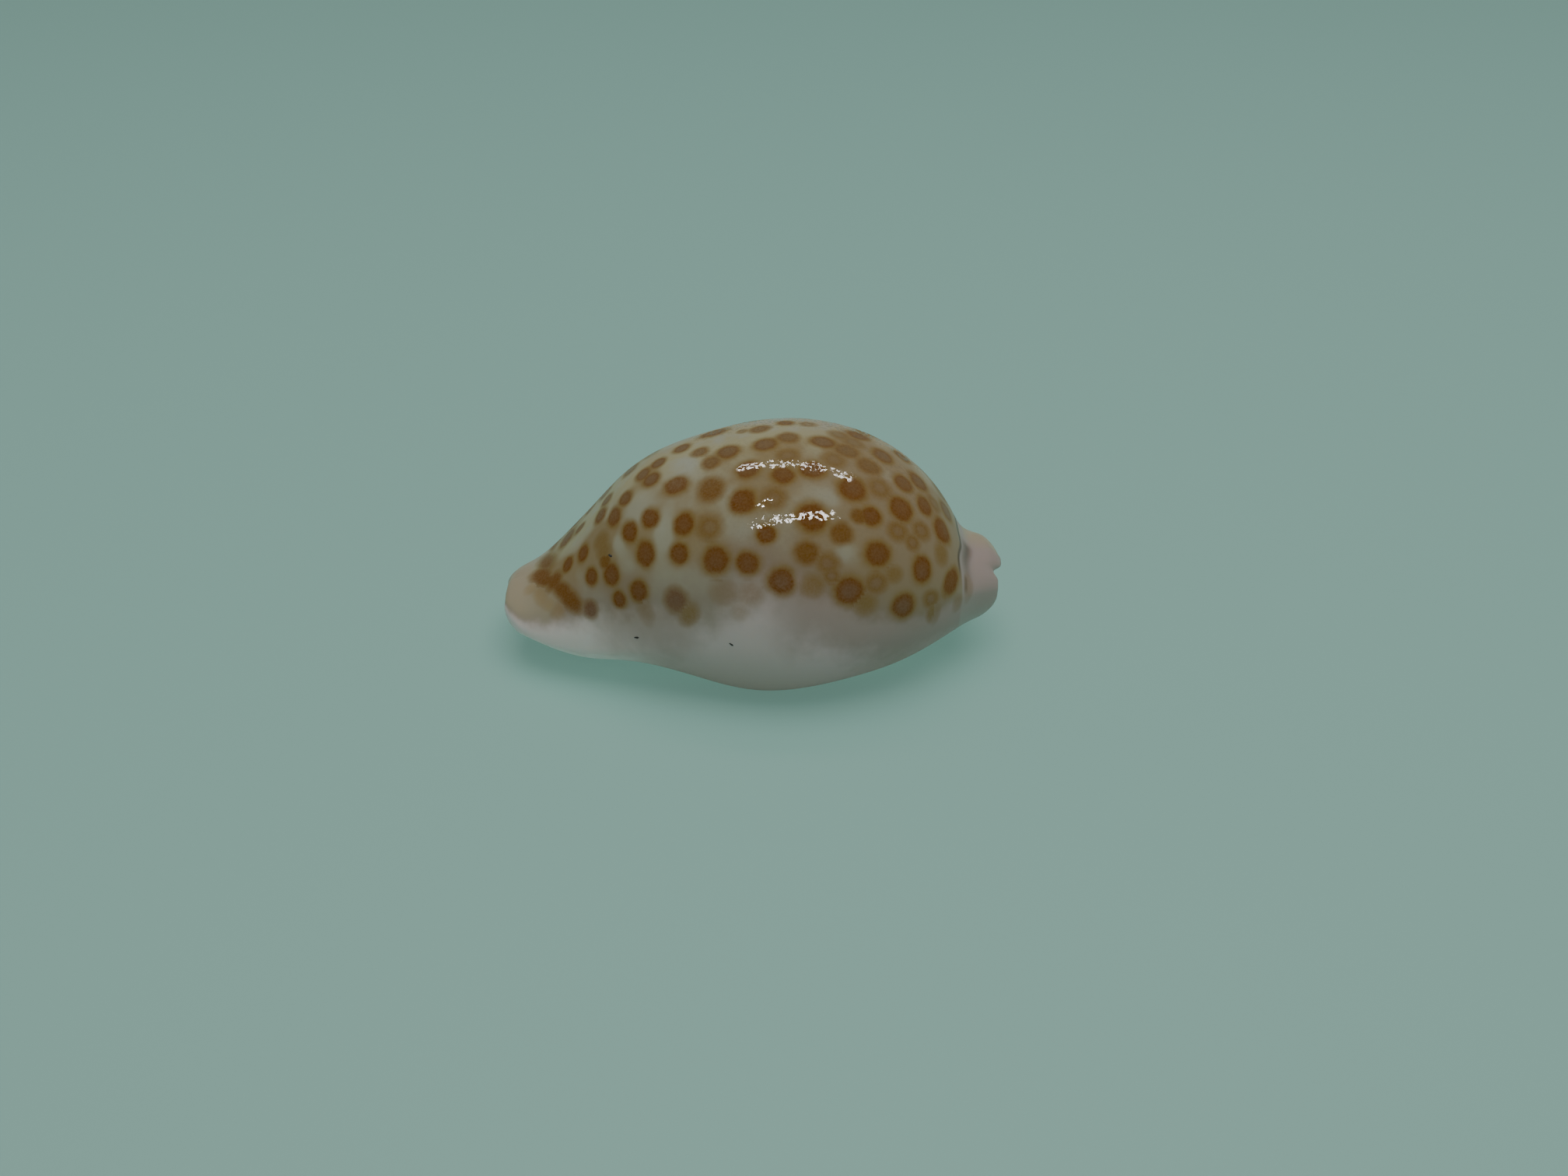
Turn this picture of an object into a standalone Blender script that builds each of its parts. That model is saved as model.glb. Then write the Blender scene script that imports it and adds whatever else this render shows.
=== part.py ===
"""A small spotted cowrie shell, as one closed solid that rests on its toothed base.

Units are metres and +Z is up. The long axis is X: the front end, with its short canal, points to -X,
and the rear end to +X. The outer lip lies on the +Y side of the slit, the columella on the -Y side.
The origin is on the ground, under the middle of the shell.

The shell is one curled sheet. Its outer skin runs from the outer lip over the back to the columellar
lip, its inner skin lines the hollow behind the slit, and both meet along the lips and round the ends.
"""

import bmesh
import bpy
import numpy as np

for old in list(bpy.data.objects):
    bpy.data.objects.remove(old, do_unlink=True)

# Driving dimensions. Everything below is a share of LENGTH, and a station runs from 0 at the front
# tip to 1 at the rear tip.
LENGTH = 0.0130

# The back's ridge, seen from the side: low front beak, hump behind the middle, steep fall to the
# step above the rear beak. Each pair is a station and a height.
CREST = [(0, 0.142), (0.05, 0.151), (0.12, 0.209), (0.18, 0.275), (0.25, 0.352), (0.4, 0.433),
         (0.55, 0.465), (0.7, 0.447), (0.82, 0.38), (0.87, 0.326), (0.9, 0.278), (0.925, 0.234),
         (0.945, 0.221), (0.97, 0.216), (1, 0.2)]

# The outline seen from above, as distances from the middle line, and the height where each side
# bulges furthest.
LABRAL_EDGE = [(0, 0.1), (0.06, 0.154), (0.15, 0.218), (0.3, 0.258), (0.45, 0.295), (0.6, 0.302),
               (0.75, 0.266), (0.88, 0.185), (0.95, 0.13), (1, 0.09)]
COLUMELLAR_EDGE = [(0, 0.08), (0.06, 0.135), (0.15, 0.179), (0.3, 0.236), (0.45, 0.283), (0.6, 0.304),
                   (0.75, 0.268), (0.88, 0.179), (0.95, 0.108), (1, 0.085)]
LABRAL_BULGE = [(0, 0.06), (0.15, 0.064), (0.35, 0.095), (0.6, 0.115), (0.85, 0.13), (1, 0.15)]
COLUMELLAR_BULGE = [(0, 0.108), (0.15, 0.09), (0.35, 0.14), (0.6, 0.165), (0.85, 0.185), (1, 0.155)]

# The lowest line of the base on each side. Where it would pass below the ground, the base is flat.
LABRAL_BASE = [(0, 0.052), (0.12, 0.042), (0.3, 0.012), (0.5, -0.005), (0.7, 0.008), (0.88, 0.038),
               (1, 0.085)]
COLUMELLAR_BASE = [(0, 0.062), (0.03, 0.0685), (0.08, 0.07), (0.13, 0.054), (0.2, 0.0435),
                   (0.26, 0.048), (0.33, 0.0395), (0.4, 0.0195), (0.5, -0.005), (0.6, -0.001),
                   (0.7, 0.016), (0.78, 0.033), (0.88, 0.0685), (1, 0.107)]

# The two sides of the slit, as places across the shell. It bends round the swollen columella, and
# is widest towards the front.
LABRAL_LIP = [(0, 0.012), (0.1, 0.026), (0.2, 0.045), (0.35, 0.052), (0.5, 0.058), (0.65, 0.062),
              (0.8, 0.042), (0.92, 0.006), (1, -0.028)]
COLUMELLAR_LIP = [(0, -0.045), (0.1, -0.045), (0.2, -0.039), (0.35, -0.036), (0.5, -0.023),
                  (0.65, 0.001), (0.8, -0.001), (0.92, -0.024), (1, -0.056)]
KEEL_SHARE = 0.4  # the base line's place between the lip and the edge
LIP_RADIUS = [(0, 0.024), (0.2, 0.04), (0.5, 0.044), (0.8, 0.038), (1, 0.024)]

# The hollow: how much of the half width and of the height above the lips it takes up.
HOLLOW_WIDTH = [(0, 0.12), (0.1, 0.3), (0.25, 0.55), (0.5, 0.68), (0.75, 0.6), (0.9, 0.45), (1, 0.4)]
HOLLOW_HEIGHT = [(0, 0.35), (0.1, 0.48), (0.25, 0.8), (0.5, 0.9), (0.75, 0.88), (0.9, 0.62), (1, 0.45)]
HOLLOW_WAIST = 0.3  # the height of its widest level, as a share of its own height

# The two ends: how far the roof over each canal, the lips and the columellar lobe stand back from
# the outer lip's lobe, and how round the rims are.
END_REACH = 0.22
ROOF_BACK = (0.012, 0.013)
ROOF_PLACE = (0, 0.267)  # the middle of each gap in the roof, as a place on the columellar side
ROOF_SPREAD = (0.3, 0.09)
LIPS_BACK = (0.01, 0.03)
LIPS_FROM = (0.75, 0.45)  # where the labral lip starts to stand back
COLUMELLAR_LIP_FROM = 0.75
COLUMELLAR_BACK = (0.012, 0.0125)
RIM_RADIUS = 0.038
RIM_SHARE = 0.3  # where in the sheet's thickness the skins meet, from the inner one

# Teeth along both lips. The columellar row starts behind a deep notch that parts it from the
# smooth ridge at the front.
TOOTH_PITCH = 0.042
TOOTH_HEIGHT = 0.011
LABRAL_TEETH = (0.08, 0.945)
COLUMELLAR_TEETH = (0.206, 0.925)
NOTCH_STATION = 0.177
NOTCH_DEPTH = 0.034
NOTCH_WIDTH = 0.013

# Mesh steps.
STATIONS_PER_TOOTH = 3
RIM_STEPS = (0, 0.06, 0.22, 0.5, 0.85)
DOME_STEPS, FLANK_STEPS, LIP_STEPS = 8, 4, 4


def smooth_curve(knots):
    """A natural cubic curve through the knots, as a function of the station."""
    x, y = np.array(knots, float).T
    step = np.diff(x)
    slopes = np.diff(y) / step
    rows = np.eye(len(x))
    ends = np.zeros(len(x))
    for i in range(1, len(x) - 1):
        rows[i, i - 1 : i + 2] = step[i - 1], 2 * (step[i - 1] + step[i]), step[i]
        ends[i] = 6 * (slopes[i] - slopes[i - 1])
    bend = np.linalg.solve(rows, ends)

    def at(station):
        t = np.clip(station, x[0], x[-1])
        i = np.clip(np.searchsorted(x, t) - 1, 0, len(x) - 2)
        h, past, left = step[i], t - x[i], x[i + 1] - t
        cubic = (bend[i] * left**3 + bend[i + 1] * past**3) / (6 * h)
        return cubic + (y[i] / h - bend[i] * h / 6) * left + (y[i + 1] / h - bend[i + 1] * h / 6) * past

    return at


def ease(value):
    """0 below 0, 1 above 1, and smooth in between."""
    v = np.clip(value, 0, 1)
    return v * v * (3 - 2 * v)


def teeth(station, first, last):
    """The height of a row of rounded teeth, with the first one at its start."""
    wave = 0.5 + 0.5 * np.cos(2 * np.pi * (station - first) / TOOTH_PITCH)
    fade = ease((station - first) / TOOTH_PITCH + 1) * ease((last - station) / TOOTH_PITCH + 1)
    return TOOTH_HEIGHT * wave**1.5 * fade


def station_rows():
    """Stations from tip to tip: close together round each rim, then a few for each tooth."""
    rim = RIM_RADIUS * np.array(RIM_STEPS)
    count = round((1 - 2 * RIM_RADIUS) / TOOTH_PITCH * STATIONS_PER_TOOTH)
    middle = np.linspace(RIM_RADIUS, 1 - RIM_RADIUS, count + 1)
    return np.concatenate([rim, middle, 1 - rim[::-1]])


def half_loop():
    """Three quarter turns that follow each other: crest to edge, edge to base line, base line to lip.

    Returns each step's stretch, its share of the quarter turn, and its place from 0 to 1."""
    stretch, share, place = [0], [0.0], [0.0]
    for number, (steps, start, end) in enumerate(((DOME_STEPS, 0, 0.6), (FLANK_STEPS, 0.6, 0.85),
                                                   (LIP_STEPS, 0.85, 1))):
        for step in range(1, steps + 1):
            stretch.append(number)
            share.append(step / steps)
            place.append(start + (end - start) * step / steps)
    return np.array(stretch), np.array(share), np.array(place)


def bent_station(row, place, columellar):
    """The station of a point once the roofs, the lips and the columellar lobe stand back at the ends."""
    signed = place if columellar else -place
    side = ease(place / 0.5) * columellar
    back = []
    for i in (0, 1):
        roof = np.exp(-(((signed - ROOF_PLACE[i]) / ROOF_SPREAD[i]) ** 2))
        start = COLUMELLAR_LIP_FROM if columellar else LIPS_FROM[i]
        lips = ease((place - start) / (1 - start))
        back.append(roof * ROOF_BACK[i] + lips * LIPS_BACK[i] + side * COLUMELLAR_BACK[i])
    near_front = np.clip(1 - row / END_REACH, 0, 1) ** 2
    near_rear = np.clip(1 - (1 - row) / END_REACH, 0, 1) ** 2
    return row + back[0] * near_front - back[1] * near_rear


def half_skins(columellar):
    """The outer and the inner skin of one side, as arrays (row, step, XYZ), both from crest to lip."""
    stretch, share, place = half_loop()
    t = bent_station(station_rows()[:, None], place[None, :], columellar)
    crest = smooth_curve(CREST)(t)
    edge = smooth_curve(COLUMELLAR_EDGE if columellar else LABRAL_EDGE)(t)
    bulge = smooth_curve(COLUMELLAR_BULGE if columellar else LABRAL_BULGE)(t)
    base = smooth_curve(COLUMELLAR_BASE if columellar else LABRAL_BASE)(t)
    radius = smooth_curve(LIP_RADIUS)(t)
    if columellar:
        lip = -smooth_curve(COLUMELLAR_LIP)(t)
        notch = NOTCH_DEPTH * np.exp(-(((t - NOTCH_STATION) / NOTCH_WIDTH) ** 2))
        face = lip + notch - teeth(t, *COLUMELLAR_TEETH)
    else:
        lip = smooth_curve(LABRAL_LIP)(t)
        face = lip - teeth(t, *LABRAL_TEETH)
    keel = lip + KEEL_SHARE * (edge - lip)

    turn = share * np.pi / 2
    towards, along = np.cos(turn), np.sin(turn)
    on_dome, on_flank = stretch == 0, stretch == 1
    outer_y = np.where(on_dome, edge * along, np.where(on_flank, keel + (edge - keel) * towards,
                                                       keel - (keel - face) * along))
    outer_z = np.where(on_dome, bulge + (crest - bulge) * towards,
                       np.where(on_flank, bulge - (bulge - base) * along, base + radius * (1 - towards)))
    outer_z = np.maximum(outer_z, 0)

    floor = base + 2 * radius
    reach = lip + (edge - lip) * smooth_curve(HOLLOW_WIDTH)(t)
    top = floor + (crest - floor) * smooth_curve(HOLLOW_HEIGHT)(t)
    waist = floor + HOLLOW_WAIST * (top - floor)
    corner = (reach - lip) / 2
    inner_y = np.where(on_dome, reach * along, np.where(on_flank, reach - corner * (1 - towards),
                                                        face + (lip + corner - face) * towards**0.8))
    inner_z = np.where(on_dome, waist + (top - waist) * towards,
                       np.where(on_flank, waist - (waist - floor) * along, floor - radius * along**2))

    # Round each end's rim: there the skins close on each other along a quarter circle.
    depth = np.minimum(t - t[:1], t[-1:] - t) / RIM_RADIUS
    apart = np.sqrt(1 - (1 - np.clip(depth, 0, 1)) ** 2)
    sign = -1 if columellar else 1
    meet_y = inner_y + RIM_SHARE * (outer_y - inner_y)
    meet_z = inner_z + RIM_SHARE * (outer_z - inner_z)
    skins = []
    for y, z in ((outer_y, outer_z), (inner_y, inner_z)):
        across = sign * (meet_y + apart * (y - meet_y))
        up = meet_z + apart * (z - meet_z)
        skins.append(np.stack([t - 0.5, across, up], axis=-1) * LENGTH)
    return skins


def shell_mesh():
    """Both skins as one grid of four-sided faces, sewn along the lips and round the two rims."""
    labral, columellar = half_skins(False), half_skins(True)
    outer, inner = (np.concatenate([a[:, ::-1], b[:, 1:]], axis=1) for a, b in zip(labral, columellar))
    rows, steps = outer.shape[:2]
    mesh = bmesh.new()
    out = [[mesh.verts.new(outer[r, s]) for s in range(steps)] for r in range(rows)]
    within = [[out[r][s] if r in (0, rows - 1) or s in (0, steps - 1) else mesh.verts.new(inner[r, s])
               for s in range(steps)] for r in range(rows)]
    for r in range(rows - 1):
        for s in range(steps - 1):
            mesh.faces.new((out[r][s], out[r][s + 1], out[r + 1][s + 1], out[r + 1][s]))
            mesh.faces.new((within[r][s], within[r + 1][s], within[r + 1][s + 1], within[r][s + 1]))
    bmesh.ops.recalc_face_normals(mesh, faces=mesh.faces)
    result = bpy.data.meshes.new("shell")
    mesh.to_mesh(result)
    mesh.free()
    result.shade_smooth()
    return result


def enamel():
    """The shell's glossy cream enamel."""
    material = bpy.data.materials.new("enamel")
    material.use_nodes = True
    shader = material.node_tree.nodes["Principled BSDF"]
    shader.inputs["Base Color"].default_value = (0.72, 0.62, 0.5, 1)
    shader.inputs["Roughness"].default_value = 0.15
    shader.inputs["Metallic"].default_value = 0
    return material


shell = bpy.data.objects.new("shell", shell_mesh())
shell.data.materials.append(enamel())
bpy.context.scene.collection.objects.link(shell)
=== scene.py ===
"""Dresses a small spotted cowrie shell: glossy enamel, eye spots, toothed lips and a little dust.

Units are metres and +Z is up. The front end points to -X and the rear end to +X, the outer lip lies on
the +Y side of the slit and the columella on the -Y side. A row runs from 0 at the front tip to 1 at
the rear tip, and a place from 0 on the crest, over 0.6 at the widest line, to 1 at the lip.
"""

import math

import bpy
import numpy as np
from bpy.props import FloatProperty, FloatVectorProperty, IntProperty, PointerProperty
from mathutils import Matrix, Vector


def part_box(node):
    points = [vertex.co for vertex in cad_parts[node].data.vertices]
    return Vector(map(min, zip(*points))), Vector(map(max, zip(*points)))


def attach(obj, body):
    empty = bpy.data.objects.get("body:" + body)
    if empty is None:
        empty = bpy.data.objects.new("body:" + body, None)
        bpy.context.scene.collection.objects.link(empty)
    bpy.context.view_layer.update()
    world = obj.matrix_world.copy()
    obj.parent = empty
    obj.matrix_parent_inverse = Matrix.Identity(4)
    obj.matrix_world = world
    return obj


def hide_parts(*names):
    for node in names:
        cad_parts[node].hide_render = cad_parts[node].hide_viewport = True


bl_info = {
    "name": "Spotted cowrie shell",
    "version": (1, 0, 0),
    "blender": (4, 5, 0),
    "location": "3D View > Sidebar > Cowrie",
    "description": "Makes a small spotted cowrie shell, the dust on it and a plain stage",
    "category": "Object",
}

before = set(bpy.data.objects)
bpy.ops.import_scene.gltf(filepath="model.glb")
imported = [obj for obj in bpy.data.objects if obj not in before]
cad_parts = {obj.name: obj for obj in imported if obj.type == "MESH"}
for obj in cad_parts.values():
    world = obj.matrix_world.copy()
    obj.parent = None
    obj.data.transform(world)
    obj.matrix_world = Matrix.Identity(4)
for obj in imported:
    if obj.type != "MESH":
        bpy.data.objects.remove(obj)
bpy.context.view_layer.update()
LOWEST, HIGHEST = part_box("shell")
SHELL_LENGTH = HIGHEST.x - LOWEST.x

# The shell's own curves, as shares of its length. Each pair is a row and a value.
CREST = [(0, 0.142), (0.05, 0.151), (0.12, 0.209), (0.18, 0.275), (0.25, 0.352), (0.4, 0.433),
         (0.55, 0.465), (0.7, 0.447), (0.82, 0.38), (0.87, 0.326), (0.9, 0.278), (0.925, 0.234),
         (0.945, 0.221), (0.97, 0.216), (1, 0.2)]
LABRAL_EDGE = [(0, 0.1), (0.06, 0.154), (0.15, 0.218), (0.3, 0.258), (0.45, 0.295), (0.6, 0.302),
               (0.75, 0.266), (0.88, 0.185), (0.95, 0.13), (1, 0.09)]
COLUMELLAR_EDGE = [(0, 0.08), (0.06, 0.135), (0.15, 0.179), (0.3, 0.236), (0.45, 0.283), (0.6, 0.304),
                   (0.75, 0.268), (0.88, 0.179), (0.95, 0.108), (1, 0.085)]
LABRAL_BULGE = [(0, 0.06), (0.15, 0.064), (0.35, 0.095), (0.6, 0.115), (0.85, 0.13), (1, 0.15)]
COLUMELLAR_BULGE = [(0, 0.108), (0.15, 0.09), (0.35, 0.14), (0.6, 0.165), (0.85, 0.185), (1, 0.155)]
LABRAL_BASE = [(0, 0.052), (0.12, 0.042), (0.3, 0.012), (0.5, -0.005), (0.7, 0.008), (0.88, 0.038),
               (1, 0.085)]
COLUMELLAR_BASE = [(0, 0.062), (0.03, 0.0685), (0.08, 0.07), (0.13, 0.054), (0.2, 0.0435),
                   (0.26, 0.048), (0.33, 0.0395), (0.4, 0.0195), (0.5, -0.005), (0.6, -0.001),
                   (0.7, 0.016), (0.78, 0.033), (0.88, 0.0685), (1, 0.107)]
LABRAL_LIP = [(0, 0.012), (0.1, 0.026), (0.2, 0.045), (0.35, 0.052), (0.5, 0.058), (0.65, 0.062),
              (0.8, 0.042), (0.92, 0.006), (1, -0.028)]
COLUMELLAR_LIP = [(0, -0.045), (0.1, -0.045), (0.2, -0.039), (0.35, -0.036), (0.5, -0.023),
                  (0.65, 0.001), (0.8, -0.001), (0.92, -0.024), (1, -0.056)]
LIP_RADIUS = [(0, 0.024), (0.2, 0.04), (0.5, 0.044), (0.8, 0.038), (1, 0.024)]
HOLLOW_WIDTH = [(0, 0.12), (0.1, 0.3), (0.25, 0.55), (0.5, 0.68), (0.75, 0.6), (0.9, 0.45), (1, 0.4)]
HOLLOW_HEIGHT = [(0, 0.35), (0.1, 0.48), (0.25, 0.8), (0.5, 0.9), (0.75, 0.88), (0.9, 0.62), (1, 0.45)]

# The places where a cross section turns: the widest line and the keel. The keel stands at a share of the way
# out from the lip, and the hollow's waist at a share of its height, and the power bends the inside of the
# lips. One notch cuts into the columellar lip: its row, its depth and its width.
EDGE_PLACE, KEEL_PLACE = 0.6, 0.85
KEEL_SHARE = 0.4
HOLLOW_WAIST = 0.3
INNER_LIP_POWER = 0.8
NOTCH_ROW, NOTCH_DEPTH, NOTCH_WIDTH = 0.177, 0.034, 0.013

# How far points stand back from the tips, in rows. Pairs are for the front and for the rear end. A roof
# stands back round one place (below 0 on the labral side), a lip from a place on, and the columellar side as
# a whole, in full from a place on. All of this fades out over the reach, in rows.
END_REACH = 0.22
ROOF_BACK = (0.012, 0.013)
ROOF_PLACE = (0, 0.267)
ROOF_SPREAD = (0.3, 0.09)
LIPS_BACK = (0.01, 0.03)
LABRAL_LIP_FROM = (0.75, 0.45)
COLUMELLAR_LIP_FROM = (0.75, 0.75)
COLUMELLAR_BACK = (0.012, 0.0125)
COLUMELLAR_FULL_FROM = 0.5

# The rounded rims, where the two skins meet: how far in the rounding starts, in rows, and at what share of
# the way from the inner skin to the outer they meet.
RIM_RADIUS = 0.038
RIM_SHARE = 0.3

# The hollow is as brown as it gets this far in from the lip, as a place, and from a tip, in rows.
DARK_FROM_LIP, DARK_FROM_TIP = 0.1, 0.06

# Mesh steps. The inner skin has one step for every two of the outer skin.
RIM_ROWS, MIDDLE_ROWS = 8, 284
DOME_STEPS, FLANK_STEPS, LIP_STEPS = 70, 20, 16

# The teeth of each lip: the first row, the last row and the reach over the base, in places. They are a wave
# raised to a power, and fade out on the base (in shares of the reach) and inside the lip (in places).
TOOTH_SPAN = ("First", "Last", "Reach")
LIP_TEETH = {"Labral": (0.08, 0.945, 0.13), "Columellar": (0.206, 0.925, 0.08)}
TOOTH_SHARPNESS = 1.4
TOOTH_BASE_FADE = (-1.0, -0.25)
TOOTH_INNER_FADE = (0.16, 0.03)

# How each kind of spot looks: how dark it is, how far its middle lightens, how blurred its rim is, how cool
# it looks under the enamel, and how far it warms the ground round it. The last two only tint the ground.
SPOT_KINDS = {
    "eye": (1.0, 1.0, 0.0, 0.0, 1.0),
    "dark": (1.0, 0.5, 0.05, 0.0, 1.0),
    "orange": (0.78, 0.0, 0.3, 0.0, 0.8),
    "pale": (0.62, 0.75, 0.65, 0.0, 0.62),
    "faded": (0.52, 0.0, 0.8, 0.0, 0.7),
    "tawny": (0.32, 0.0, 1.2, 0.0, 0.5),
    "veiled": (0.9, 0.6, 0.6, 0.6, 0.4),
    "ghost": (0.36, 0.0, 1.1, 0.7, 0.2),
    "stain": (0.85, 0.0, 0.8, 0.0, 0.7),
    "blush": (0.0, 0.0, 0.0, 0.0, 1.2),
    "cloud": (0.0, 0.0, 0.0, 0.0, -0.7),
}
SPOT_FIELDS = ("tone", "ring", "blur", "cool", "warmth")

# The spots seen from the columellar side: row, place (below 0 for the labral side), radius as a share of
# the length, how much taller than wide each one is, and how far its foot leans to the rear in degrees.
SPOTS = {
    "eye": [
        (0.365, 0.152, 0.026, 0.85, 0), (0.318, 0.235, 0.020, 1.1, 0), (0.278, 0.250, 0.018, 1.3, 0),
        (0.383, 0.275, 0.021, 1.1, 0), (0.375, 0.352, 0.020, 1.05, 0), (0.443, 0.375, 0.028, 0.96, 0),
        (0.502, 0.385, 0.023, 0.96, 0), (0.310, 0.333, 0.020, 1.3, 0), (0.243, 0.357, 0.019, 1.25, 0),
        (0.202, 0.325, 0.016, 1.2, 0), (0.147, 0.190, 0.016, 1.15, -10), (0.181, 0.200, 0.017, 1.2, -15),
        (0.463, 0.068, 0.023, 0.86, 0), (0.532, 0.060, 0.024, 0.82, 0), (0.640, 0.045, 0.025, 0.78, 0),
        (0.727, 0.268, 0.023, 0.88, 0), (0.785, 0.222, 0.029, 0.92, 0), (0.738, 0.370, 0.028, 0.88, 0),
        (0.562, 0.427, 0.026, 1, 0), (0.685, 0.460, 0.030, 0.9, 0), (0.823, 0.413, 0.024, 1.13, 0),
        (0.787, 0.530, 0.027, 0.92, 0), (0.869, 0.222, 0.028, 1.06, -18), (0.535, 0.320, 0.019, 0.96, 0),
        (0.693, 0.195, 0.029, 0.9, 0), (0.315, 0.093, 0.019, 1, 0),
    ],
    "dark": [
        (0.297, 0.432, 0.020, 1.05, 0), (0.258, 0.440, 0.016, 1.1, 0), (0.213, 0.088, 0.018, 1.15, 0),
        (0.297, 0.045, 0.017, 1.1, 0), (0.265, 0.113, 0.017, 1.1, 0), (0.245, 0.160, 0.019, 1.25, 0),
        (0.223, 0.022, 0.016, 1, 0), (0.165, 0.013, 0.016, 0.8, 0), (0.492, 0.235, 0.027, 0.96, 0),
        (0.710, -0.040, 0.023, 0.89, 0), (0.755, 0.033, 0.024, 0.96, 0), (0.620, 0.150, 0.026, 0.79, 0),
        (0.565, 0.170, 0.022, 0.95, 0), (0.500, 0.145, 0.024, 0.91, 0), (0.792, 0.118, 0.022, 1, 0),
        (0.825, 0.055, 0.025, 0.96, 0), (0.833, 0.163, 0.022, 1.05, 0), (0.618, 0.280, 0.029, 1.07, 0),
        (0.886, 0.454, 0.020, 1.57, -38), (0.882, 0.063, 0.024, 1.05, 0), (0.430, -0.070, 0.029, 0.86, 0),
        (0.497, -0.140, 0.022, 0.96, 0), (0.570, -0.052, 0.017, 0.95, 0), (0.797, -0.045, 0.021, 0.87, 0),
        (0.370, -0.017, 0.018, 1, 0), (0.327, 0.022, 0.016, 1, 0),
    ],
    "orange": [
        (0.408, 0.037, 0.017, 0.91, 0), (0.430, 0.098, 0.018, 0.96, 0), (0.575, 0.035, 0.021, 0.85, 0),
        (0.685, 0.066, 0.024, 0.81, 0), (0.725, 0.105, 0.024, 0.88, 0), (0.520, -0.022, 0.020, 0.86, 0),
        (0.672, 0.318, 0.022, 0.9, 0), (0.432, 0.188, 0.025, 1.04, 0), (0.608, 0.365, 0.023, 0.93, 0),
        (0.704, 0.272, 0.017, 0.89, 0), (0.229, 0.300, 0.014, 1.2, 0),
    ],
    "pale": [
        (0.430, 0.292, 0.024, 0.96, 0), (0.547, 0.233, 0.024, 0.96, 0), (0.745, 0.175, 0.024, 0.92, 0),
        (0.645, 0.390, 0.021, 0.92, 0), (0.653, 0.420, 0.015, 0.91, 0), (0.735, 0.450, 0.021, 0.88, 0),
        (0.842, 0.526, 0.020, 0.79, -20), (0.823, 0.273, 0.022, 0.87, 0), (0.777, 0.297, 0.022, 0.87, 0),
        (0.805, 0.325, 0.017, 0.87, 0), (0.575, 0.107, 0.020, 0.85, 0), (0.660, 0.111, 0.022, 0.86, 0),
        (0.854, 0.110, 0.020, 0.87, 0), (0.700, 0.018, 0.020, 0.8, 0), (0.672, -0.005, 0.020, 0.81, 0),
        (0.613, -0.048, 0.016, 0.84, 0), (0.487, -0.025, 0.010, 0.96, 0),
    ],
    "faded": [
        (0.392, 0.508, 0.017, 1.3, -35), (0.866, 0.328, 0.019, 1.13, -15), (0.846, 0.590, 0.013, 1.4, 0),
        (0.715, 0.500, 0.022, 0.89, 0), (0.768, 0.427, 0.017, 0.87, 0), (0.618, 0.440, 0.021, 0.93, 0),
        (0.226, 0.262, 0.017, 1.2, 0), (0.220, 0.215, 0.019, 1, 0),
    ],
    "tawny": [
        (0.089, 0.282, 0.012, 2.6, 36), (0.130, 0.400, 0.016, 0.9, -15), (0.062, 0.175, 0.015, 0.9, -25),
        (0.110, 0.352, 0.014, 0.8, -30),
    ],
    "veiled": [
        (0.200, 0.443, 0.016, 1.05, 0), (0.368, 0.470, 0.022, 1, 10),
    ],
    # Two ghosts by the rear step, at rows 0.927 and 0.902, are painted shade in its folds rather than spots.
    "ghost": [
        (0.505, 0.460, 0.023, 0.8, 0), (0.458, 0.453, 0.024, 0.8, 0), (0.310, 0.495, 0.014, 1.6, 0),
        (0.853, 0.600, 0.012, 1.8, 0), (0.927, 0.475, 0.012, 2, 0), (0.902, 0.600, 0.013, 1.2, 0),
        (0.487, 0.500, 0.014, 1, 0),
    ],
    "stain": [
        (0.089, 0.010, 0.019, 2.4, 30), (0.098, -0.140, 0.014, 2.6, 0), (0.100, -0.300, 0.012, 3, 0),
        (0.083, 0.121, 0.020, 2, 40), (0.098, 0.185, 0.040, 0.3, -33), (0.118, 0.225, 0.020, 1, -40),
        (0.138, 0.305, 0.015, 1.9, 43), (0.157, 0.370, 0.017, 1.9, 36),
    ],
    "blush": [
        (0.792, 0.310, 0.026, 0.75, 10), (0.757, 0.426, 0.016, 0.9, 0), (0.890, 0.083, 0.020, 2, -20),
        (0.896, 0.263, 0.015, 1.6, -20), (0.560, 0.085, 0.021, 0.9, 0), (0.271, 0.495, 0.023, 0.6, 0),
        (0.357, 0.519, 0.018, 0.7, 0), (0.748, 0.514, 0.023, 0.6, 0), (0.215, 0.205, 0.024, 0.8, -45),
        (0.823, 0.495, 0.021, 0.8, 0), (0.640, 0.500, 0.022, 0.7, 0),
    ],
    "cloud": [
        (0.235, 0.130, 0.016, 1.6, 30), (0.296, 0.212, 0.013, 1.2, 30), (0.473, 0.228, 0.015, 0.9, 0),
        (0.643, 0.228, 0.015, 0.9, 0), (0.759, 0.120, 0.012, 1.1, -40), (0.471, 0.424, 0.018, 0.7, 0),
        (0.384, 0.100, 0.019, 0.9, -30), (0.248, 0.264, 0.011, 1.2, 30), (0.675, 0.369, 0.012, 1.2, 0),
        (0.110, 0.292, 0.010, 1, 0), (0.345, 0.290, 0.012, 1.6, 0),
    ],
}

# In a spot's shape, a distance out of the surface counts this much. Its warmth falls off with the square of
# the distance at this rate, both in spot radii. At first each point counts as very far from any spot.
OUTWARD_SHARE = 0.6
WARMTH_FADE = 0.3
FAR_AWAY = 9.0

# The strewn spots: how clear they stay of the placed ones, as a share of the length, the rows between which
# they lie, the lowest place, and a density so high that only their spacing keeps them apart.
STREWN_CLEARANCE = 0.045
STREWN_ROWS = (0.07, 0.9)
STREWN_LOWEST_PLACE = 0.5
STREWN_DENSITY = 5e7

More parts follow.
